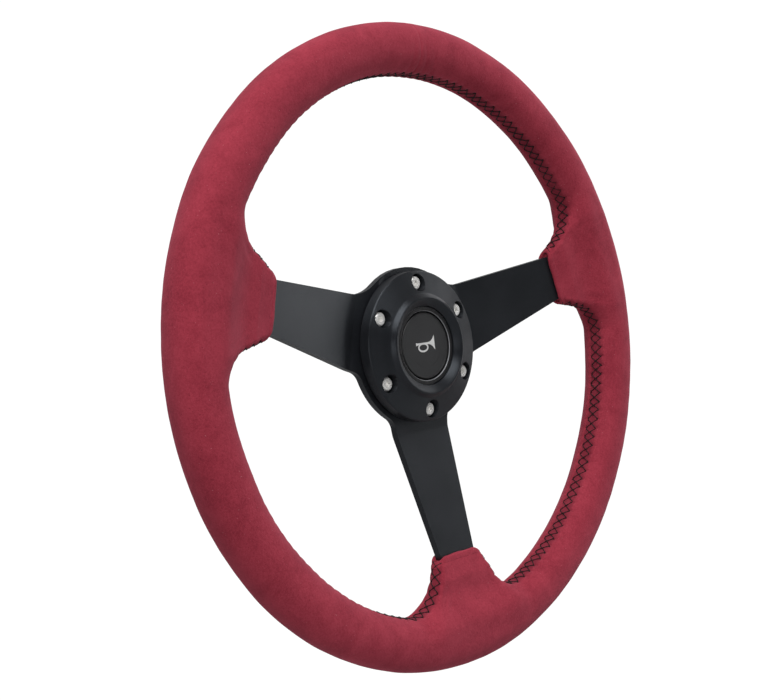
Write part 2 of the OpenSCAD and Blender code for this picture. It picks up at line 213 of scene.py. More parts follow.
def relax(verts, quads, field, rounds, level=0.0, pinned=None):
    """Evens out the quads along the surface and puts them back on it."""
    edges = np.concatenate([quads[:, [k, (k + 1) % 4]] for k in range(4)])
    degree = np.bincount(edges.ravel(), minlength=len(verts))
    for _ in range(rounds):
        mean = np.stack(
            [
                np.bincount(
                    edges.ravel(), weights=verts[edges[:, ::-1].ravel(), k], minlength=len(verts)
                )
                for k in range(3)
            ],
            1,
        ) / np.maximum(degree, 1)[:, None]
        n = unit(gradient(field, verts))
        move = mean - verts
        move -= (move * n).sum(1)[:, None] * n
        verts = project(field, verts + 0.55 * move, 1, level)
        if pinned is not None:
            verts[pinned, 0] = 0
    verts = project(field, verts, 2, level)
    if pinned is not None:
        verts[pinned, 0] = 0
    return verts


# ---------------------------------------------------------------- mesh helpers

def to_frame(p):
    return np.stack([p[..., 0], -p[..., 2], p[..., 1]], -1) * MM


def make_object(name, verts, quads):
    """A smooth-shaded object; verts in millimetres as (x, z, h), quads as an (n, 4) array."""
    quads = np.asarray(quads, np.int32)
    mesh = bpy.data.meshes.new(name)
    mesh.vertices.add(len(verts))
    mesh.vertices.foreach_set("co", to_frame(verts).astype(np.float32).ravel())
    mesh.loops.add(quads.size)
    mesh.loops.foreach_set("vertex_index", quads.ravel())
    mesh.polygons.add(len(quads))
    mesh.polygons.foreach_set("loop_start", np.arange(len(quads), dtype=np.int32) * 4)
    mesh.update(calc_edges=True)
    mesh.validate()
    mesh.polygons.foreach_set("use_smooth", np.ones(len(mesh.polygons), bool))
    obj = bpy.data.objects.new(name, mesh)
    bpy.context.scene.collection.objects.link(obj)
    return obj


def keep_faces(verts, quads, mask, extra):
    """The faces in mask, with their own vertices and per-vertex values."""
    part = quads[mask]
    used, part = np.unique(part, return_inverse=True)
    return verts[used], part.reshape(-1, 4), [e[used] for e in extra]


def set_attribute(obj, name, values):
    attribute = obj.data.attributes.new(name, "FLOAT", "POINT")
    attribute.data.foreach_set("value", np.asarray(values, np.float32))


def tube_quads(rings, sides, closed_rings=False):
    """Quads of a tube whose vertices run ring by ring."""
    i = np.arange(rings if closed_rings else rings - 1)[:, None]
    j = np.arange(sides)[None, :]
    a = i * sides + j
    b = i * sides + (j + 1) % sides
    c = ((i + 1) % rings) * sides + (j + 1) % sides
    d = ((i + 1) % rings) * sides + j
    return np.stack([a, d, c, b], -1).reshape(-1, 4)


# ---------------------------------------------------------------- seam paths and their ribbons

def bearing(p):
    return math.degrees(math.atan2(p[1], p[0]))


def sleeve_corner():
    k = math.hypot(1, FLARE)
    d = (HEM_HALF_W - FLARE * HEM_U) / k + BLEND_R
    along = math.sqrt((RIM_IN_R - BLEND_R) ** 2 - d * d)
    return np.array([(-FLARE * d + along) / k, (d + FLARE * along) / k])


def turned(p, angle):
    c, s = math.cos(math.radians(angle)), math.sin(math.radians(angle))
    return np.stack([p[:, 0] * c - p[:, 1] * s, p[:, 0] * s + p[:, 1] * c], 1)


def window_path(a0, a1):
    """Plan path of the seam round one window, from the hem at angle a0 to the hem at a1."""
    c = sleeve_corner()
    start = np.array([[HEM_U + 0.4, HEM_HALF_W + FLARE * 0.4]])
    arc_angles = np.radians(np.linspace(bearing((FLARE, -1)), bearing(c), 14))
    arc = c + BLEND_R * np.stack([np.cos(arc_angles), np.sin(arc_angles)], 1)
    half = np.concatenate([start, arc])
    rim_angles = np.radians(np.linspace(a0 + bearing(c), a1 - bearing(c), 160))[1:-1]
    rim = RIM_IN_R * np.stack([np.cos(rim_angles), np.sin(rim_angles)], 1)
    mirrored = half[::-1] * np.array([1, -1])
    path = np.concatenate([turned(half, a0), rim, turned(mirrored, a1)])
    step = np.linalg.norm(np.diff(path, axis=0), axis=1)
    length = np.concatenate([[0], np.cumsum(step)])
    n = int(round(length[-1] / RIBBON_DS))
    s = np.linspace(0, length[-1], n + 1)
    return np.stack([np.interp(s, length, path[:, k]) for k in (0, 1)], 1), s


class Ribbon:
    """The surface on both sides of one seam, as a grid over s along the seam and v across it."""

    def __init__(self, a0, a1):
        path, self.s = window_path(a0, a1)
        smooth = path.copy()
        for _ in range(6):
            smooth[1:-1] = (smooth[:-2] + 2 * smooth[1:-1] + smooth[2:]) / 4
        t = unit(np.gradient(smooth, axis=0))
        n = np.stack([-t[:, 1], t[:, 0]], 1)
        h = np.full(len(path), DISH_H)
        for angle in (a0, a1):
            d = np.array([math.cos(math.radians(angle)), math.sin(math.radians(angle))])
            u, w = smooth @ d, np.abs(smooth @ np.array([-d[1], d[0]]))
            near = (w < 45) & (u > 0)
            h[near] = np.minimum(mid_h(u[near]), DISH_H)
        p = np.concatenate([smooth + 6 * n, h[:, None]], 1)
        direction = np.concatenate([-n, np.zeros((len(n), 1))], 1)
        for _ in range(60):
            f = cover_field(p[:, 0], p[:, 1], p[:, 2], 0.0)
            p += direction * np.clip(0.7 * f, -1, 1)[:, None]
        steps = int(RIBBON_V / RIBBON_DV)
        field = lambda x, z, hh: cover_field(x, z, hh, -1.0)
        rows = {0: project(field, p, 2)}
        for side in (1, -1):
            q = rows[0]
            b = np.zeros_like(q)
            b[:, 2] = side
            for k in range(1, steps + 1):
                nn = unit(gradient(field, q))
                b = unit(b - (b * nn).sum(1)[:, None] * nn)
                q = project(field, q + RIBBON_DV * b, 2)
                rows[side * k] = q
        self.p = np.stack([rows[k] for k in range(-steps, steps + 1)], 1)
        shape = self.p.shape
        self.n = unit(gradient(field, self.p.reshape(-1, 3))).reshape(shape)
        self.v = np.arange(-steps, steps + 1) * RIBBON_DV
        self.length = self.s[-1]
        self.stitches = int(round((self.length - 3) / STITCH_PITCH))
        self.pitch = (self.length - 3) / self.stitches
        self.first = 1.5
        self.tree = None

    def at(self, s, v):
        """Position and normal at (s, v), by interpolation."""
        i = np.clip(s / (self.s[1] - self.s[0]), 0, len(self.s) - 1.001)
        j = np.clip((v - self.v[0]) / RIBBON_DV, 0, len(self.v) - 1.001)
        i0, j0 = i.astype(int), j.astype(int)
        a, b = (i - i0)[..., None], (j - j0)[..., None]

        def mixed(grid):
            return (
                (grid[i0, j0] * (1 - b) + grid[i0, j0 + 1] * b) * (1 - a)
                + (grid[i0 + 1, j0] * (1 - b) + grid[i0 + 1, j0 + 1] * b) * a
            )

        return mixed(self.p), unit(mixed(self.n))

    def locate(self, points, reach):
        """Nearest (s, v) of each point, and whether it lies within reach."""
        if self.tree is None:
            flat = self.p.reshape(-1, 3)
            self.tree = KDTree(len(flat))
            for index, co in enumerate(flat):
                self.tree.insert(co, index)
            self.tree.balance()
        s, v = np.zeros(len(points)), np.full(len(points), 99.0)
        columns = len(self.v)
        for k, point in enumerate(points):
            co, index, distance = self.tree.find(point)
            if distance < reach:
                i, j = divmod(index, columns)
                s[k], v[k] = self.s[i], self.v[j]
        near = v < 90
        i = np.clip((s[near] / (self.s[1] - self.s[0])).astype(int), 0, len(self.s) - 2)
        j = np.clip(np.round((v[near] - self.v[0]) / RIBBON_DV).astype(int), 1, columns - 2)
        offset = points[near] - self.p[i, j]
        along = unit(self.p[i + 1, j] - self.p[i, j])
        across = unit(self.p[i, j + 1] - self.p[i, j - 1])
        s[near] = self.s[i] + (offset * along).sum(1)
        v[near] = self.v[j] + (offset * across).sum(1)
        return s, v, near


def step01(x, a, b):
    t = np.clip((x - a) / (b - a), 0, 1)
    return t * t * (3 - 2 * t)


def row_v(ribbon, s):
    """Distance of the holes from the seam."""
    return SLEEVE_ROW_V + (ROW_V - SLEEVE_ROW_V) * step01(np.minimum(s, ribbon.length - s), 18, 40)


def pucker(ribbon, s, v):
    """How far the suede stands above its smooth shape beside a seam."""
    row = row_v(ribbon, s)
    v = v - SEAM_V
    phase = (s - ribbon.first) / ribbon.pitch
    to_hole = (phase - np.round(phase)) * ribbon.pitch
    av = np.abs(v)
    ends = step01(s, 0.5, 3) * step01(ribbon.length - s, 0.5, 3)
    joint = -0.4 * np.exp(-((v / 0.6) ** 2))
    ditch = -0.25 * (1 - step01(av - row, -0.8, 1.4))
    swell = 0.24 * np.exp(-(((av - row - 1.8) / 1.4) ** 2)) * (0.75 - 0.25 * np.cos(2 * math.pi * phase))
    holes = -0.7 * np.exp(-(to_hole**2 + (av - row) ** 2) / 0.8**2)
    folds = -0.2 * np.exp(-((to_hole / 1.0) ** 2)) * step01(av, 0.5, 2.5) * (1 - step01(av - row, 1, 3.5))
    return (joint + ditch + swell + holes + folds) * ends


# ---------------------------------------------------------------- suede cover

PITCH = 0.85


def grid_axes(pitch):
    fine = [0.2, 0.6, 1.05, 1.6, 2.2] if pitch < 1 else [0.5, 1.5]
    half = np.array(fine + list(np.arange(fine[-1] + pitch, RIM_R + GRIP_A + 3, pitch)))
    xs = np.concatenate([-half[::-1], half])
    zs = np.arange(-RIM_R - GRIP_A - 3, RIM_R + GRIP_A + 3, pitch)
    hs = np.arange(DISH_H - GRIP_B - 2, DISH_H + GRIP_B + 2, pitch)
    return [xs, zs, hs]


def value_noise(p, scale, seed):
    """Smooth noise at each point, from a few octaves of plane waves."""
    r = np.random.default_rng(seed)
    total = np.zeros(len(p))
    for _ in range(14):
        k = r.normal(size=3)
        k *= 2 * math.pi / scale / np.linalg.norm(k) * r.uniform(0.6, 1.6)
        total += np.sin(p @ k + r.uniform(0, 2 * math.pi))
    return total / math.sqrt(7)


ribbons = {
    "top": Ribbon(15, 165),
    "lower_left": Ribbon(165, 270),
    "lower_right": Ribbon(270, 375),
}

verts, quads = surface_net(cover_field, grid_axes(PITCH))
middle = np.abs(verts[:, 0]) < (0.25 if PITCH < 1 else 0.6)
verts = relax(verts, quads, cover_field, 6, 0.0, middle)
normals = unit(gradient(cover_field, verts))

lift = np.zeros(len(verts))
seam = np.zeros(len(verts))
plan_r = np.hypot(verts[:, 0], verts[:, 1])
inner = np.flatnonzero(plan_r < RIM_IN_R + 12)
for ribbon in ribbons.values():
    s, v, near = ribbon.locate(verts[inner], 2.0)
    chosen = inner[near]
    lift[chosen] = pucker(ribbon, s[near], v[near])
    # Closeness to the seam, which the suede material turns into painted shade in the seam's ditch
    seam[chosen] = 1 - step01(np.abs(v[near] - SEAM_V), 2.5, 5.0)

# Joint of the two panels at twelve o'clock, with the suede drawn in beside it
top = verts[:, 1] > 0
across = np.abs(verts[:, 0])
# Slack in the suede: long soft waves everywhere, short creases at the joint and near the sleeves
lift += 0.10 * value_noise(verts, 60, 3) + 0.035 * value_noise(verts, 14, 4)
clock = np.degrees(np.arctan2(verts[:, 0], verts[:, 1]))
tube = np.degrees(np.arctan2(verts[:, 2] - DISH_H, plan_r - RIM_R))
# The joint shows most on the side that faces the driver and the middle of the wheel
shown = 0.4 + 0.6 * np.exp(-(((tube - 140) / 45) ** 2))
lift += top * shown * (
    -0.36 * np.exp(-((verts[:, 0] / 0.7) ** 2)) + 0.08 * np.exp(-(((across - 2.6) / 1.6) ** 2))
)
for at, lean, width, depth in ((1.5, 0.012, 0.36, 0.34), (-1.6, -0.014, 0.4, 0.26), (3.6, 0.02, 0.5, 0.2)):
    line = clock - at - lean * (tube - 90)
    facing = np.exp(-(((tube - 130) / 45) ** 2))
    lift -= depth * np.exp(-((line / width) ** 2)) * facing * top
for angle in SPOKES:
    c, s_ = math.cos(math.radians(angle)), math.sin(math.radians(angle))
    u, w = verts[:, 0] * c + verts[:, 1] * s_, verts[:, 1] * c - verts[:, 0] * s_
    close = np.exp(-(((u - 136) / 10) ** 2)) * np.exp(-(((np.abs(w) - 24) / 9) ** 2))
    wave = np.sin((np.abs(w) * 0.75 - u * 0.55) * 1.05 + angle) * np.sin(u * 0.23 + w * 0.11)
    lift += 0.16 * close * wave
verts = verts + normals * lift[:, None]

left_face = verts[quads][:, :, 0].sum(1) < 0
covers = []
for name, mask in (("cover_panel_left", left_face), ("cover_panel_right", ~left_face)):
    part_verts, part_quads, (part_seam_shade,) = keep_faces(verts, quads, mask, [seam])
    panel = make_object(name, part_verts, part_quads)
    # The "seam" attribute sets how much painted shade the suede gets beside the seam
    set_attribute(panel, "seam", part_seam_shade)
    covers.append(panel)


# Foam under the suede
FOAM_LEVEL, FOAM_PITCH = -1.9, 2.2
foam_verts, foam_quads = surface_net(cover_field, grid_axes(FOAM_PITCH), FOAM_LEVEL)
foam_verts = relax(foam_verts, foam_quads, cover_field, 2, FOAM_LEVEL)
foam = make_object("rim_padding", foam_verts, foam_quads)


# Turned-in hem of each sleeve: a rounded fold that stands clear of the plate
def hem_fold(angle, name):
    loop, section = 180, 22
    half_len, radius = 1.9, 0.98
    w0, t0, r = HEM_HALF_W, HEM_HALF_T + 0.12, EDGE_R
    straight_w, straight_t = w0 - r, t0 - r
    quarter = math.pi * r / 2
    lengths = [2 * straight_t, quarter, 2 * straight_w, quarter] * 2
    marks = np.concatenate([[0], np.cumsum(lengths)])
    d = np.linspace(0, marks[-1], loop, endpoint=False)
    points, outward = np.zeros((loop, 2)), np.zeros((loop, 2))
    corners = [(1, 1), (-1, 1), (-1, -1), (1, -1)]
    for k in range(4):
        flat = (d >= marks[2 * k]) & (d < marks[2 * k + 1])
        bend = (d >= marks[2 * k + 1]) & (d < marks[2 * k + 2])
        a = k * math.pi / 2
        nrm = np.array([math.cos(a), math.sin(a)])
        tan = np.array([-nrm[1], nrm[0]])
        centre = np.array(corners[k]) * (straight_w, straight_t)
        begin = centre + r * nrm - tan * lengths[2 * k]
        points[flat] = begin + (d[flat] - marks[2 * k])[:, None] * tan
        outward[flat] = nrm
        turn = a + (d[bend] - marks[2 * k + 1]) / r
        ring = np.stack([np.cos(turn), np.sin(turn)], 1)
        points[bend] = centre + r * ring
        outward[bend] = ring
    q = np.linspace(0, 2 * math.pi, section, endpoint=False)
    along = np.sign(np.cos(q)) * (half_len - radius) + radius * np.cos(q)
    off = radius * np.sin(q) - radius
    wobble = 0.18 * np.sin(d * 0.21 + angle) + 0.1 * np.sin(d * 0.53 + 2 * angle)
    u = HEM_U + half_len + along[None, :] + wobble[:, None] + hem_setback(points[:, :1], w0)
    grown = points[:, None, :] + outward[:, None, :] * off[None, :, None]
    w = grown[..., 0] + np.sign(points[:, 0])[:, None] * FLARE * (u - HEM_U) * np.abs(outward[:, :1])
    h = grown[..., 1] + mid_h(u)
    c, s = math.cos(math.radians(angle)), math.sin(math.radians(angle))
    p = np.stack([u * c - w * s, u * s + w * c, h], -1).reshape(-1, 3)
    return make_object(name, p, tube_quads(loop, section, True))


hems = [hem_fold(a, n) for a, n in zip(SPOKES, ("hem_right", "hem_left", "hem_bottom"))]


# ---------------------------------------------------------------- stitching

def thread_run(name, ribbon):
    samples, sides = ((30, 8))
    t = np.linspace(0, 1, samples)
    k = np.arange(ribbon.stitches)
    s0 = ribbon.first + k * ribbon.pitch
    jitter = rng.normal(0, 0.34, (2, ribbon.stitches + 1, 2))
    strands = []
    for side, over in ((1, 1), (-1, 0)):
        s1 = s0 + ribbon.pitch
        a = np.stack([s0 + jitter[0, :-1, 0], -side * row_v(ribbon, s0) + jitter[0, :-1, 1]], 1)
        b = np.stack([s1 + jitter[0, 1:, 0], side * row_v(ribbon, s1) + jitter[0, 1:, 1]], 1)
        s = a[:, None, 0] + (b - a)[:, None, 0] * t
        v = SEAM_V + a[:, None, 1] + (b - a)[:, None, 1] * t
        p, n = ribbon.at(s, v)
        dive = np.exp(-((t / 0.045) ** 2)) + np.exp(-(((1 - t) / 0.045) ** 2))
        rise = -0.20 + over * 0.34 * np.exp(-(((t - 0.5) / 0.09) ** 2)) - 1.0 * dive
        p = p + n * rise[None, :, None]
        tangent = unit(np.gradient(p, axis=1))
        up = unit(n - (n * tangent).sum(-1, keepdims=True) * tangent)
        sideways = np.cross(tangent, up)
        ring = np.linspace(0, 2 * math.pi, sides, endpoint=False)
        twist = t * 2 * math.pi * 3.2
        wave = 1 + 0.16 * np.cos(2 * (ring[None, :] - twist[:, None]))
        radius = THREAD_R * wave[None, :, :, None]
        tube = p[:, :, None, :] + radius * (
            np.cos(ring)[None, None, :, None] * up[:, :, None, :]
            + np.sin(ring)[None, None, :, None] * sideways[:, :, None, :]
        )
        strands.append(tube.reshape(ribbon.stitches, -1, 3))
    all_strands = np.concatenate(strands)
    one = tube_quads(samples, sides)[:, ::-1]
    faces = (one[None] + (np.arange(len(all_strands)) * samples * sides)[:, None, None]).reshape(-1, 4)
    return make_object(name, all_strands.reshape(-1, 3), faces)


threads = {k: thread_run("thread_" + k, r) for k, r in ribbons.items()}


# ---------------------------------------------------------------- materials

class Nodes:
    """Short way to write a node tree."""

    def __init__(self, name):
        self.mat = bpy.data.materials.new(name)
        self.mat.use_nodes = True
        self.tree = self.mat.node_tree
        self.tree.nodes.clear()
        self.out = self.tree.nodes.new("ShaderNodeOutputMaterial")
        self.bsdf = self.tree.nodes.new("ShaderNodeBsdfPrincipled")
        self.tree.links.new(self.bsdf.outputs[0], self.out.inputs[0])
        self.coord = self.tree.nodes.new("ShaderNodeTexCoord").outputs["Object"]

    def node(self, kind, **inputs):
        made = self.tree.nodes.new(kind)
        for key, value in inputs.items():
            self.put(made.inputs[key.replace("_", " ")], value)
        return made

    def put(self, socket, value):
        if isinstance(value, bpy.types.NodeSocket):
            self.tree.links.new(value, socket)
        else:
            socket.default_value = value

    def noise(self, scale, detail=3.0, rough=0.6, vector=None, distortion=0.0):
        made = self.node(
            "ShaderNodeTexNoise", Scale=scale, Detail=detail, Roughness=rough, Distortion=distortion
        )
        self.put(made.inputs["Vector"], vector or self.coord)
        return made.outputs["Fac"]

    def math(self, op, a, b=0.0):
        made = self.tree.nodes.new("ShaderNodeMath")
        made.operation = op
        for socket, value in zip(made.inputs, (a, b)):
            self.put(socket, value)
        return made.outputs[0]

    def vmath(self, op, a, b=None):
        made = self.tree.nodes.new("ShaderNodeVectorMath")
        made.operation = op
        self.put(made.inputs[0], a)
        if b is not None:
            self.put(made.inputs[1], b)
        return made

    def span(self, value, a0, a1, b0, b1):
        made = self.node("ShaderNodeMapRange", Value=value)
        for key, number in (("From Min", a0), ("From Max", a1), ("To Min", b0), ("To Max", b1)):
            made.inputs[key].default_value = number
        return made.outputs[0]

    def varied(self, middle, *layers):
        """middle plus each (noise, amount) layer, which adds up to amount either way."""
        total = middle
        for value, amount in layers:
            total = self.math("ADD", self.span(value, 0.3, 0.7, -amount, amount), total)
        return total

    def mix(self, factor, a, b):
        made = self.tree.nodes.new("ShaderNodeMix")
        made.data_type = "RGBA"
        self.put(made.inputs["Factor"], factor)
        for socket, value in ((made.inputs[6], a), (made.inputs[7], b)):
            if isinstance(value, tuple) and len(value) == 3:
                value = (*value, 1)
            self.put(socket, value)
        return made.outputs[2]

    def bump(self, height, strength, distance, normal=None):
        made = self.node("ShaderNodeBump", Strength=strength, Distance=distance, Height=height)
        if normal is not None:
            self.put(made.inputs["Normal"], normal)
        return made.outputs[0]

    def attribute(self, name):
        made = self.tree.nodes.new("ShaderNodeAttribute")
        made.attribute_name = name
        return made.outputs["Fac"]

    def set(self, **inputs):
        for key, value in inputs.items():
            if isinstance(value, tuple) and len(value) == 3:
                value = (*value, 1)
            self.put(self.bsdf.inputs[key.replace("_", " ")], value)
        return self.mat


def suede_material():
    m = Nodes("suede")
    brushed = m.noise(38, 4, 0.62, distortion=0.7)
    patches = m.noise(140, 3, 0.6)
    grain = m.noise(900, 2, 0.55)
    fine = m.noise(2600, 2, 0.6)
    value = m.varied(0.5, (brushed, 0.17), (patches, 0.08), (grain, 0.13), (fine, 0.10))
    color = m.mix(value, (0.172, 0.0135, 0.0252), (0.425, 0.052, 0.079))
    # Painted shade: the suede darkens towards the seam, standing in for the shadow in the seam's ditch
    # between the rows of stitches
    seam = m.math("MULTIPLY", m.attribute("seam"), 0.40)
    color = m.mix(seam, color, (0.075, 0.008, 0.016))
    lint = m.span(m.noise(1300, 1, 0.4), 0.765, 0.81, 0, 0.25)
    color = m.mix(lint, color, (0.75, 0.42, 0.46))
    pore = m.span(m.noise(1050, 1, 0.4), 0.27, 0.23, 0, 0.45)
    color = m.mix(pore, color, (0.07, 0.006, 0.013))
    height = m.math("ADD", m.math("MULTIPLY", grain, 0.7), m.math("MULTIPLY", fine, 0.3))
    normal = m.bump(height, 0.55, 0.00035)
    normal = m.bump(brushed, 0.35, 0.0008, normal)
    return m.set(
        Base_Color=color,
        Roughness=m.span(grain, 0.3, 0.7, 0.82, 0.98),
        Specular_IOR_Level=0.06,
        Sheen_Weight=0.22,
        Sheen_Roughness=0.5,
        Sheen_Tint=(0.95, 0.36, 0.48),
        Normal=normal,
    )


def thread_material():
    m = Nodes("waxed_thread")
    fibre = m.noise(2600, 3, 0.6)
    color = m.mix(m.span(fibre, 0.3, 0.7, 0, 1), (0.0035, 0.0020, 0.0024), (0.014, 0.007, 0.009))
    return m.set(
        Base_Color=color,
        Roughness=m.span(fibre, 0.3, 0.7, 0.6, 0.85),
        Specular_IOR_Level=0.3,
        Normal=m.bump(fibre, 0.5, 0.0001),
    )


def foam_material():
    m = Nodes("moulded_foam")
    cells = m.node("ShaderNodeTexVoronoi", Scale=900.0, Vector=m.coord)
    depth = cells.outputs["Distance"]
    color = m.mix(m.span(depth, 0, 0.6, 0, 1), (0.075, 0.075, 0.078), (0.028, 0.028, 0.030))
    return m.set(Base_Color=color, Roughness=0.95, Normal=m.bump(depth, 0.7, 0.0004))


# Cool cast of the black coat's reflections
COAT_TINT = (0.82, 0.90, 1.0)


def coated_metal(name, dark, light, rough, grain_scale, bump):
    """Satin black coat over metal: fine grain, faint cloudiness in its gloss."""
    m = Nodes(name)
    grain = m.noise(grain_scale, 3, 0.6)
    cloud = m.noise(45, 3, 0.5)
    color = m.mix(m.span(cloud, 0.3, 0.7, 0, 1), dark, light)
    gloss = m.varied(rough, (cloud, 0.03), (grain, 0.05))
    return m.set(
        Base_Color=color,
        Roughness=gloss,
        Specular_IOR_Level=0.5,
        Specular_Tint=COAT_TINT,
        Normal=m.bump(grain, bump, 0.00008),
    )


def turned_metal(name, dark, light, rough, anisotropy=0.0, strength=0.12):
    """Turned on a lathe about the wheel's axis: fine rings that catch the light."""
    m = Nodes(name)
    parts = m.node("ShaderNodeSeparateXYZ", Vector=m.coord)
    flat = m.node("ShaderNodeCombineXYZ", X=parts.outputs["X"], Y=0.0, Z=parts.outputs["Z"])
    radius = m.vmath("LENGTH", flat.outputs[0]).outputs["Value"]
    rings = m.node(
        "ShaderNodeCombineXYZ",
        X=m.math("MULTIPLY", radius, 5200.0),
        Y=m.math("MULTIPLY", parts.outputs["Y"], 5200.0),
        Z=0.0,
    )
    groove = m.noise(1.0, 2, 0.5, vector=rings.outputs[0])
    grain = m.noise(3200, 2, 0.5)
    cloud = m.noise(60, 3, 0.5)
    color = m.mix(m.span(groove, 0.3, 0.7, 0, 1), dark, light)
    gloss = m.varied(rough + 0.005, (groove, 0.055), (cloud, 0.03))
    normal = m.bump(groove, strength, 0.00006)
    normal = m.bump(grain, 0.08, 0.00005, normal)
    if anisotropy:
        along = m.tree.nodes.new("ShaderNodeTangent")
        along.direction_type = "RADIAL"
        along.axis = "Y"
        m.set(
            Anisotropic=anisotropy,
            Anisotropic_Rotation=0.25,
            Specular_Tint=COAT_TINT,
            Tangent=along.outputs[0],
        )
    return m.set(Base_Color=color, Roughness=gloss, Normal=normal)


def bare_metal(name, dark, light, rough, scale=1500.0, bump=0.12, metallic=1.0):
    m = Nodes(name)
    stretched = m.vmath("MULTIPLY", m.coord, (1.0, 0.12, 1.0)).outputs[0]
    scratches = m.noise(scale, 3, 0.6, vector=stretched)
    stain = m.noise(160, 4, 0.6)
    color = m.mix(m.span(stain, 0.3, 0.7, 0, 1), dark, light)
    gloss = m.varied(rough + 0.01, (stain, 0.06), (scratches, 0.04))
    return m.set(
        Base_Color=color, Metallic=metallic, Roughness=gloss, Normal=m.bump(scratches, bump, 0.00005)
    )


def moulded_plastic(name, dark, light, rough, scale=2400.0, bump=0.12, highlight_radii=()):
    """highlight_radii: radii, in metres, of thin light rings painted on the front face as highlights along
    its edges.
    """
    m = Nodes(name)
    spark = m.noise(scale, 2, 0.5)
    cloud = m.noise(90, 3, 0.5)
    color = m.mix(m.span(cloud, 0.3, 0.7, 0, 1), dark, light)
    if highlight_radii:
        parts = m.node("ShaderNodeSeparateXYZ", Vector=m.coord)
        flat = m.node("ShaderNodeCombineXYZ", X=parts.outputs["X"], Y=0.0, Z=parts.outputs["Z"])
        radius = m.vmath("LENGTH", flat.outputs[0]).outputs["Value"]
        front = m.span(parts.outputs["Y"], -0.0128, -0.0132, 0, 1)
        # Painted highlights: a thin light ring on the front face at each radius, standing in for light
        # caught by the bezel's edges
        for edge_r in highlight_radii:
            off = m.math("ABSOLUTE", m.math("SUBTRACT", radius, edge_r))
            line = m.math("MULTIPLY", m.span(off, 0.00008, 0.0002, 1, 0), front)
            color = m.mix(line, color, (0.24, 0.245, 0.26))
    gloss = m.varied(rough, (cloud, 0.04), (spark, 0.03))
    return m.set(Base_Color=color, Roughness=gloss, Normal=m.bump(spark, bump, 0.00006))


def laminate_material():
    m = Nodes("fibre_laminate")
    weave = m.node("ShaderNodeTexVoronoi", Scale=1200.0, Vector=m.coord).outputs["Distance"]
    cloud = m.noise(300, 4, 0.6)
    color = m.mix(m.span(cloud, 0.3, 0.7, 0, 1), (0.095, 0.042, 0.018), (0.20, 0.095, 0.045))
    return m.set(
        Base_Color=color,
        Roughness=m.span(weave, 0, 0.7, 0.42, 0.6),
        Normal=m.bump(weave, 0.2, 0.0001),
    )


MATERIALS = {
    "suede": suede_material(),
    "thread": thread_material(),
    "foam": foam_material(),
    "spoke_metal": coated_metal(
        "satin_black_plate", (0.0055, 0.0060, 0.0074), (0.0085, 0.0091, 0.0110), 0.40, 2100.0, 0.35
    ),
    "ring_metal": turned_metal(
        "satin_black_ring", (0.0040, 0.0044, 0.0056), (0.0085, 0.0091, 0.0112), 0.42, 0.8
    ),
    "core_steel": bare_metal("core_steel", (0.20, 0.20, 0.21), (0.36, 0.36, 0.37), 0.45),
    "rivet_steel": bare_metal("plated_steel", (0.42, 0.42, 0.43), (0.60, 0.60, 0.60), 0.32),
    "screw_steel": bare_metal("bright_steel", (0.88, 0.87, 0.85), (0.97, 0.96, 0.94), 0.26, metallic=0.4),
    "spring_steel": bare_metal("spring_steel", (0.34, 0.35, 0.37), (0.52, 0.53, 0.55), 0.28),
    "housing_plastic": moulded_plastic(
        "housing_plastic", (0.0085, 0.0085, 0.0095), (0.013, 0.013, 0.0145), 0.30,
        # Radii of the painted highlight rings on the bezel's front face
        highlight_radii=(0.01932, 0.02158),
    ),
    "cap_plastic": moulded_plastic("cap_plastic", (0.009, 0.009, 0.010), (0.013, 0.013, 0.014), 0.36),
    "insulator": laminate_material(),
    "brass": bare_metal("brass", (0.48, 0.31, 0.10), (0.70, 0.50, 0.20), 0.30),
    "badge_metal": turned_metal(
        "badge_metal", (0.014, 0.0143, 0.0155), (0.026, 0.0264, 0.0285), 0.34, 0.0, 0.05
    ),
}


def paint(obj, slot_name):
    obj.data.materials.clear()
    obj.data.materials.append(MATERIALS[slot_name])


# ---------------------------------------------------------------- hard parts from CAD: softened edges

def soften(obj, width, segments=2, angle=32):
    """Rounds the sharp edges of a CAD node with modifiers and leaves its mesh as it is."""
    mesh = obj.data
    if "custom_normal" in mesh.attributes:
        mesh.attributes.remove(mesh.attributes["custom_normal"])
    mesh.polygons.foreach_set("use_smooth", np.ones(len(mesh.polygons), bool))
    weld = obj.modifiers.new("weld", "WELD")
    weld.merge_threshold = 2e-6
    flat = obj.modifiers.new("flat", "DECIMATE")
    flat.decimate_type = "DISSOLVE"
    flat.angle_limit = math.radians(0.6)
    if width:
        bevel = obj.modifiers.new("bevel", "BEVEL")
        bevel.width = width * MM
        bevel.segments = segments
        bevel.limit_method = "ANGLE"
        bevel.angle_limit = math.radians(angle)
        bevel.use_clamp_overlap = True
    weighted = obj.modifiers.new("weighted", "WEIGHTED_NORMAL")
    weighted.keep_sharp = True


slots = {s["node"]: s["material_slot"] for s in frame["record"]["subparts"]}
EDGES = {
    "spoke_frame": 0.25, "trim_ring": 0.3, "hub_screws": 0.5, "horn_housing": 0.22, "horn_cap": 0.2,
    "badge_disc": 0.08, "base_clip": 0.1, "contact_base": 0.12, "signal_terminal": 0.12,
    "ground_terminal": 0.12, "housing_screws": 0.12, "contact_plate": 0.1,
}
for name, obj in frame["nodes"].items():
    if name.startswith(("cover_", "stitch_", "rim_foam")):
        continue
    paint(obj, slots[name])
    soften(obj, EDGES.get(name, 0.0))


# Horn spring as its own piece, tied to the wheel
source = frame["nodes"]["horn_spring"]
coil = bpy.data.objects.new("horn_spring_coil", source.data.copy())
bpy.context.scene.collection.objects.link(coil)

# Generic horn sign on the button face: a flared tube and an oval loop, printed as a thin layer
INK_H = 0.04


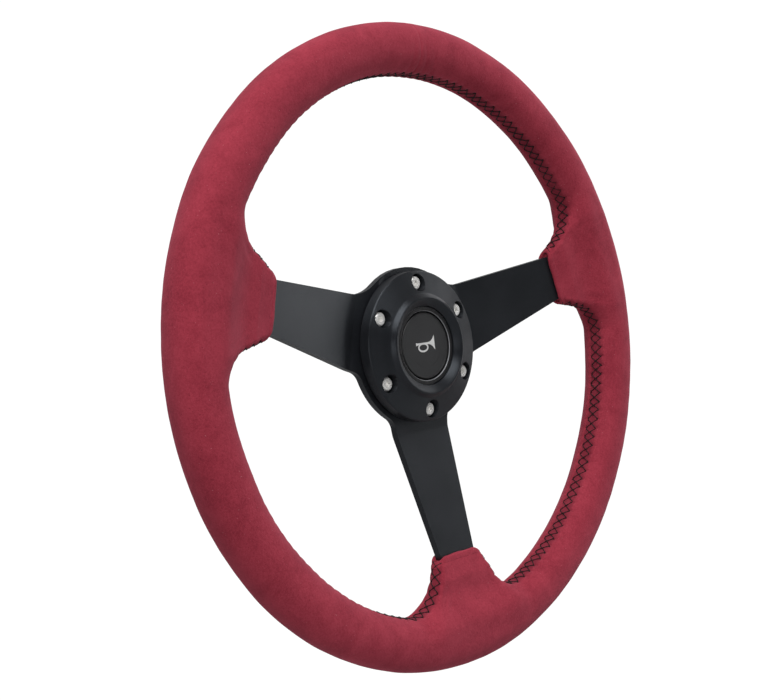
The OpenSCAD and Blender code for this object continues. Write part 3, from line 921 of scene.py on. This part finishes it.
def sign_piece(points, faces):
    mesh = bpy.data.meshes.new("sign")
    mesh.from_pydata([tuple(q) for q in to_frame(points)], [], faces)
    obj = bpy.data.objects.new("sign", mesh)
    bpy.context.scene.collection.objects.link(obj)
    return obj


def at_height(points, h):
    return np.column_stack([points, np.full(len(points), h)])


def oval(centre, half_x, half_z, count=72):
    a = np.linspace(0, 2 * math.pi, count, endpoint=False)
    return np.column_stack([centre[0] + half_x * np.cos(a), centre[1] + half_z * np.sin(a)])


def pictogram():
    face_h = -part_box("badge_disc")[0][1] / MM
    low_h, high_h = face_h - INK_H, face_h + INK_H
    loop_h = high_h - 0.005
    axis_z = 1.2
    xs = np.linspace(-7.4, 7.4, 40)
    bell = 3.6 * np.clip((xs - 1.5) / 5.9, 0, 1) ** 2.6
    mouthpiece = 0.35 * np.exp(-(((xs + 7.1) / 0.5) ** 2))
    half = 0.55 + bell + mouthpiece
    outline = np.concatenate(
        [np.column_stack([xs, axis_z - half]), np.column_stack([xs[::-1], axis_z + half[::-1]])]
    )
    n = len(outline)
    sides = [[k, (k + 1) % n, n + (k + 1) % n, n + k] for k in range(n)]
    tube = sign_piece(
        np.concatenate([at_height(outline, low_h), at_height(outline, high_h)]),
        [list(range(n, 2 * n))] + sides,
    )
    outer, inner = oval((-1.9, -0.9), 4.1, 2.6), oval((-1.9, -0.9), 3.1, 1.6)
    rings = [
        at_height(outer, low_h), at_height(outer, loop_h),
        at_height(inner, loop_h), at_height(inner, low_h),
    ]
    loop = sign_piece(np.concatenate(rings), tube_quads(4, 72).tolist())
    objects = [tube, loop]
    with bpy.context.temp_override(active_object=tube, selected_editable_objects=objects):
        bpy.ops.object.join()
    tube.name = "horn_sign"
    return tube


sign = pictogram()
ink = moulded_plastic("printed_ink", (0.55, 0.55, 0.55), (0.72, 0.72, 0.71), 0.5)
sign.data.materials.append(ink)

# ---------------------------------------------------------------- tie every piece to its body

for obj, node in zip(covers, ("cover_left", "cover_right")):
    paint(obj, "suede")
    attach(obj, "wheel")
    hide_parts(node)
for obj in hems:
    set_attribute(obj, "seam", np.zeros(len(obj.data.vertices)))
    paint(obj, "suede")
    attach(obj, "wheel")
paint(foam, "foam")
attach(foam, "wheel")
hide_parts("rim_foam")
for key, obj in threads.items():
    paint(obj, "thread")
    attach(obj, "wheel")
    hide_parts("stitch_" + key)
paint(coil, "spring_steel")
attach(coil, "wheel")
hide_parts("horn_spring")
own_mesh(coil)
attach(sign, "horn_button")

# ---------------------------------------------------------------- floor, light and camera

def floor_and_light():
    size, floor_z = 30.0, -0.45
    corners = [(-size, -size), (size, -size), (size, size), (-size, size)]
    mesh = bpy.data.meshes.new("floor")
    mesh.from_pydata([(x, y, floor_z) for x, y in corners], [], [(0, 1, 2, 3)])
    floor = bpy.data.objects.new("floor", mesh)
    bpy.context.scene.collection.objects.link(floor)
    m = Nodes("pale_floor")
    tone = m.noise(1.5, 3, 0.5)
    color = m.mix(m.span(tone, 0.3, 0.7, 0, 1), (0.36, 0.36, 0.36), (0.40, 0.40, 0.40))
    m.set(Base_Color=color, Roughness=0.9, Specular_IOR_Level=0.1)
    paper = m.node("ShaderNodeEmission", Strength=1.05)
    paper.inputs["Color"].default_value = (1, 1, 1, 1)
    shown = m.tree.nodes.new("ShaderNodeMixShader")
    m.put(shown.inputs[0], m.tree.nodes.new("ShaderNodeLightPath").outputs["Is Camera Ray"])
    m.put(shown.inputs[1], m.bsdf.outputs[0])
    m.put(shown.inputs[2], paper.outputs[0])
    m.put(m.out.inputs["Surface"], shown.outputs[0])
    floor.data.materials.append(m.mat)

    world = bpy.data.worlds.new("studio")
    bpy.context.scene.world = world
    world.use_nodes = True
    tree = world.node_tree
    tree.nodes.clear()
    out = tree.nodes.new("ShaderNodeOutputWorld")
    mix = tree.nodes.new("ShaderNodeMixShader")
    seen = tree.nodes.new("ShaderNodeBackground")
    seen.inputs[0].default_value = (1, 1, 1, 1)
    seen.inputs[1].default_value = 1.05
    lit = tree.nodes.new("ShaderNodeBackground")
    lit.inputs[1].default_value = 0.46
    coord = tree.nodes.new("ShaderNodeTexCoord")
    dot = tree.nodes.new("ShaderNodeVectorMath")
    dot.operation = "DOT_PRODUCT"
    dot.inputs[1].default_value = Vector((0.75, 0.55, 0.36)).normalized()
    ramp = tree.nodes.new("ShaderNodeValToRGB")
    ramp.color_ramp.elements[0].position = 0.3
    ramp.color_ramp.elements[0].color = (0.05, 0.05, 0.055, 1)
    ramp.color_ramp.elements[1].position = 0.9
    ramp.color_ramp.elements[1].color = (1, 1, 1, 1)
    shift = tree.nodes.new("ShaderNodeMath")
    shift.operation = "MULTIPLY_ADD"
    shift.inputs[1].default_value = 0.5
    shift.inputs[2].default_value = 0.5
    path = tree.nodes.new("ShaderNodeLightPath")
    link = tree.links.new
    link(coord.outputs["Generated"], dot.inputs[0])
    link(dot.outputs["Value"], shift.inputs[0])
    link(shift.outputs[0], ramp.inputs[0])
    link(ramp.outputs[0], lit.inputs[0])
    link(path.outputs["Is Camera Ray"], mix.inputs[0])
    link(lit.outputs[0], mix.inputs[1])
    link(seen.outputs[0], mix.inputs[2])
    link(mix.outputs[0], out.inputs[0])

    def area(name, place, aim, width, height, power):
        data = bpy.data.lights.new(name, "AREA")
        data.shape = "RECTANGLE"
        data.size, data.size_y = width, height
        data.energy = power
        lamp = bpy.data.objects.new(name, data)
        bpy.context.scene.collection.objects.link(lamp)
        lamp.location = place
        lamp.rotation_mode = "QUATERNION"
        lamp.rotation_quaternion = (Vector(aim) - Vector(place)).to_track_quat("-Z", "Y")

    area("key", (-0.85, -1.15, 2.3), (0, 0, 0), 2.4, 2.4, 88)
    area("left_card", (-1.7, -1.2, 0.1), (0, 0, 0), 0.9, 0.9, 7)
    area("right_wall", (2.1, -0.2, 0.4), (0, 0, 0), 2.0, 2.4, 26)


floor_and_light()

# Seen from the driver's left, a little above the wheel's axis
CAMERA_PLACE, CAMERA_LENS = (-0.48518, -0.4741, 0.02304), 55.98
camera_data = bpy.data.cameras.new("camera")
camera_data.lens, camera_data.sensor_width = CAMERA_LENS, 36
camera_data.clip_start, camera_data.clip_end = 0.05, 100
camera = bpy.data.objects.new("camera", camera_data)
bpy.context.scene.collection.objects.link(camera)
right = Vector((0.70281, -0.70268, -0.11086))
up = Vector((0.10309, -0.05359, 0.99323))
back = right.cross(up).normalized()
up = back.cross(right).normalized()
camera.matrix_world = Matrix.Translation(CAMERA_PLACE) @ Matrix(
    (right.normalized(), up, back)
).transposed().to_4x4()
bpy.context.scene.camera = camera
bpy.context.scene.view_settings.view_transform = "Standard"
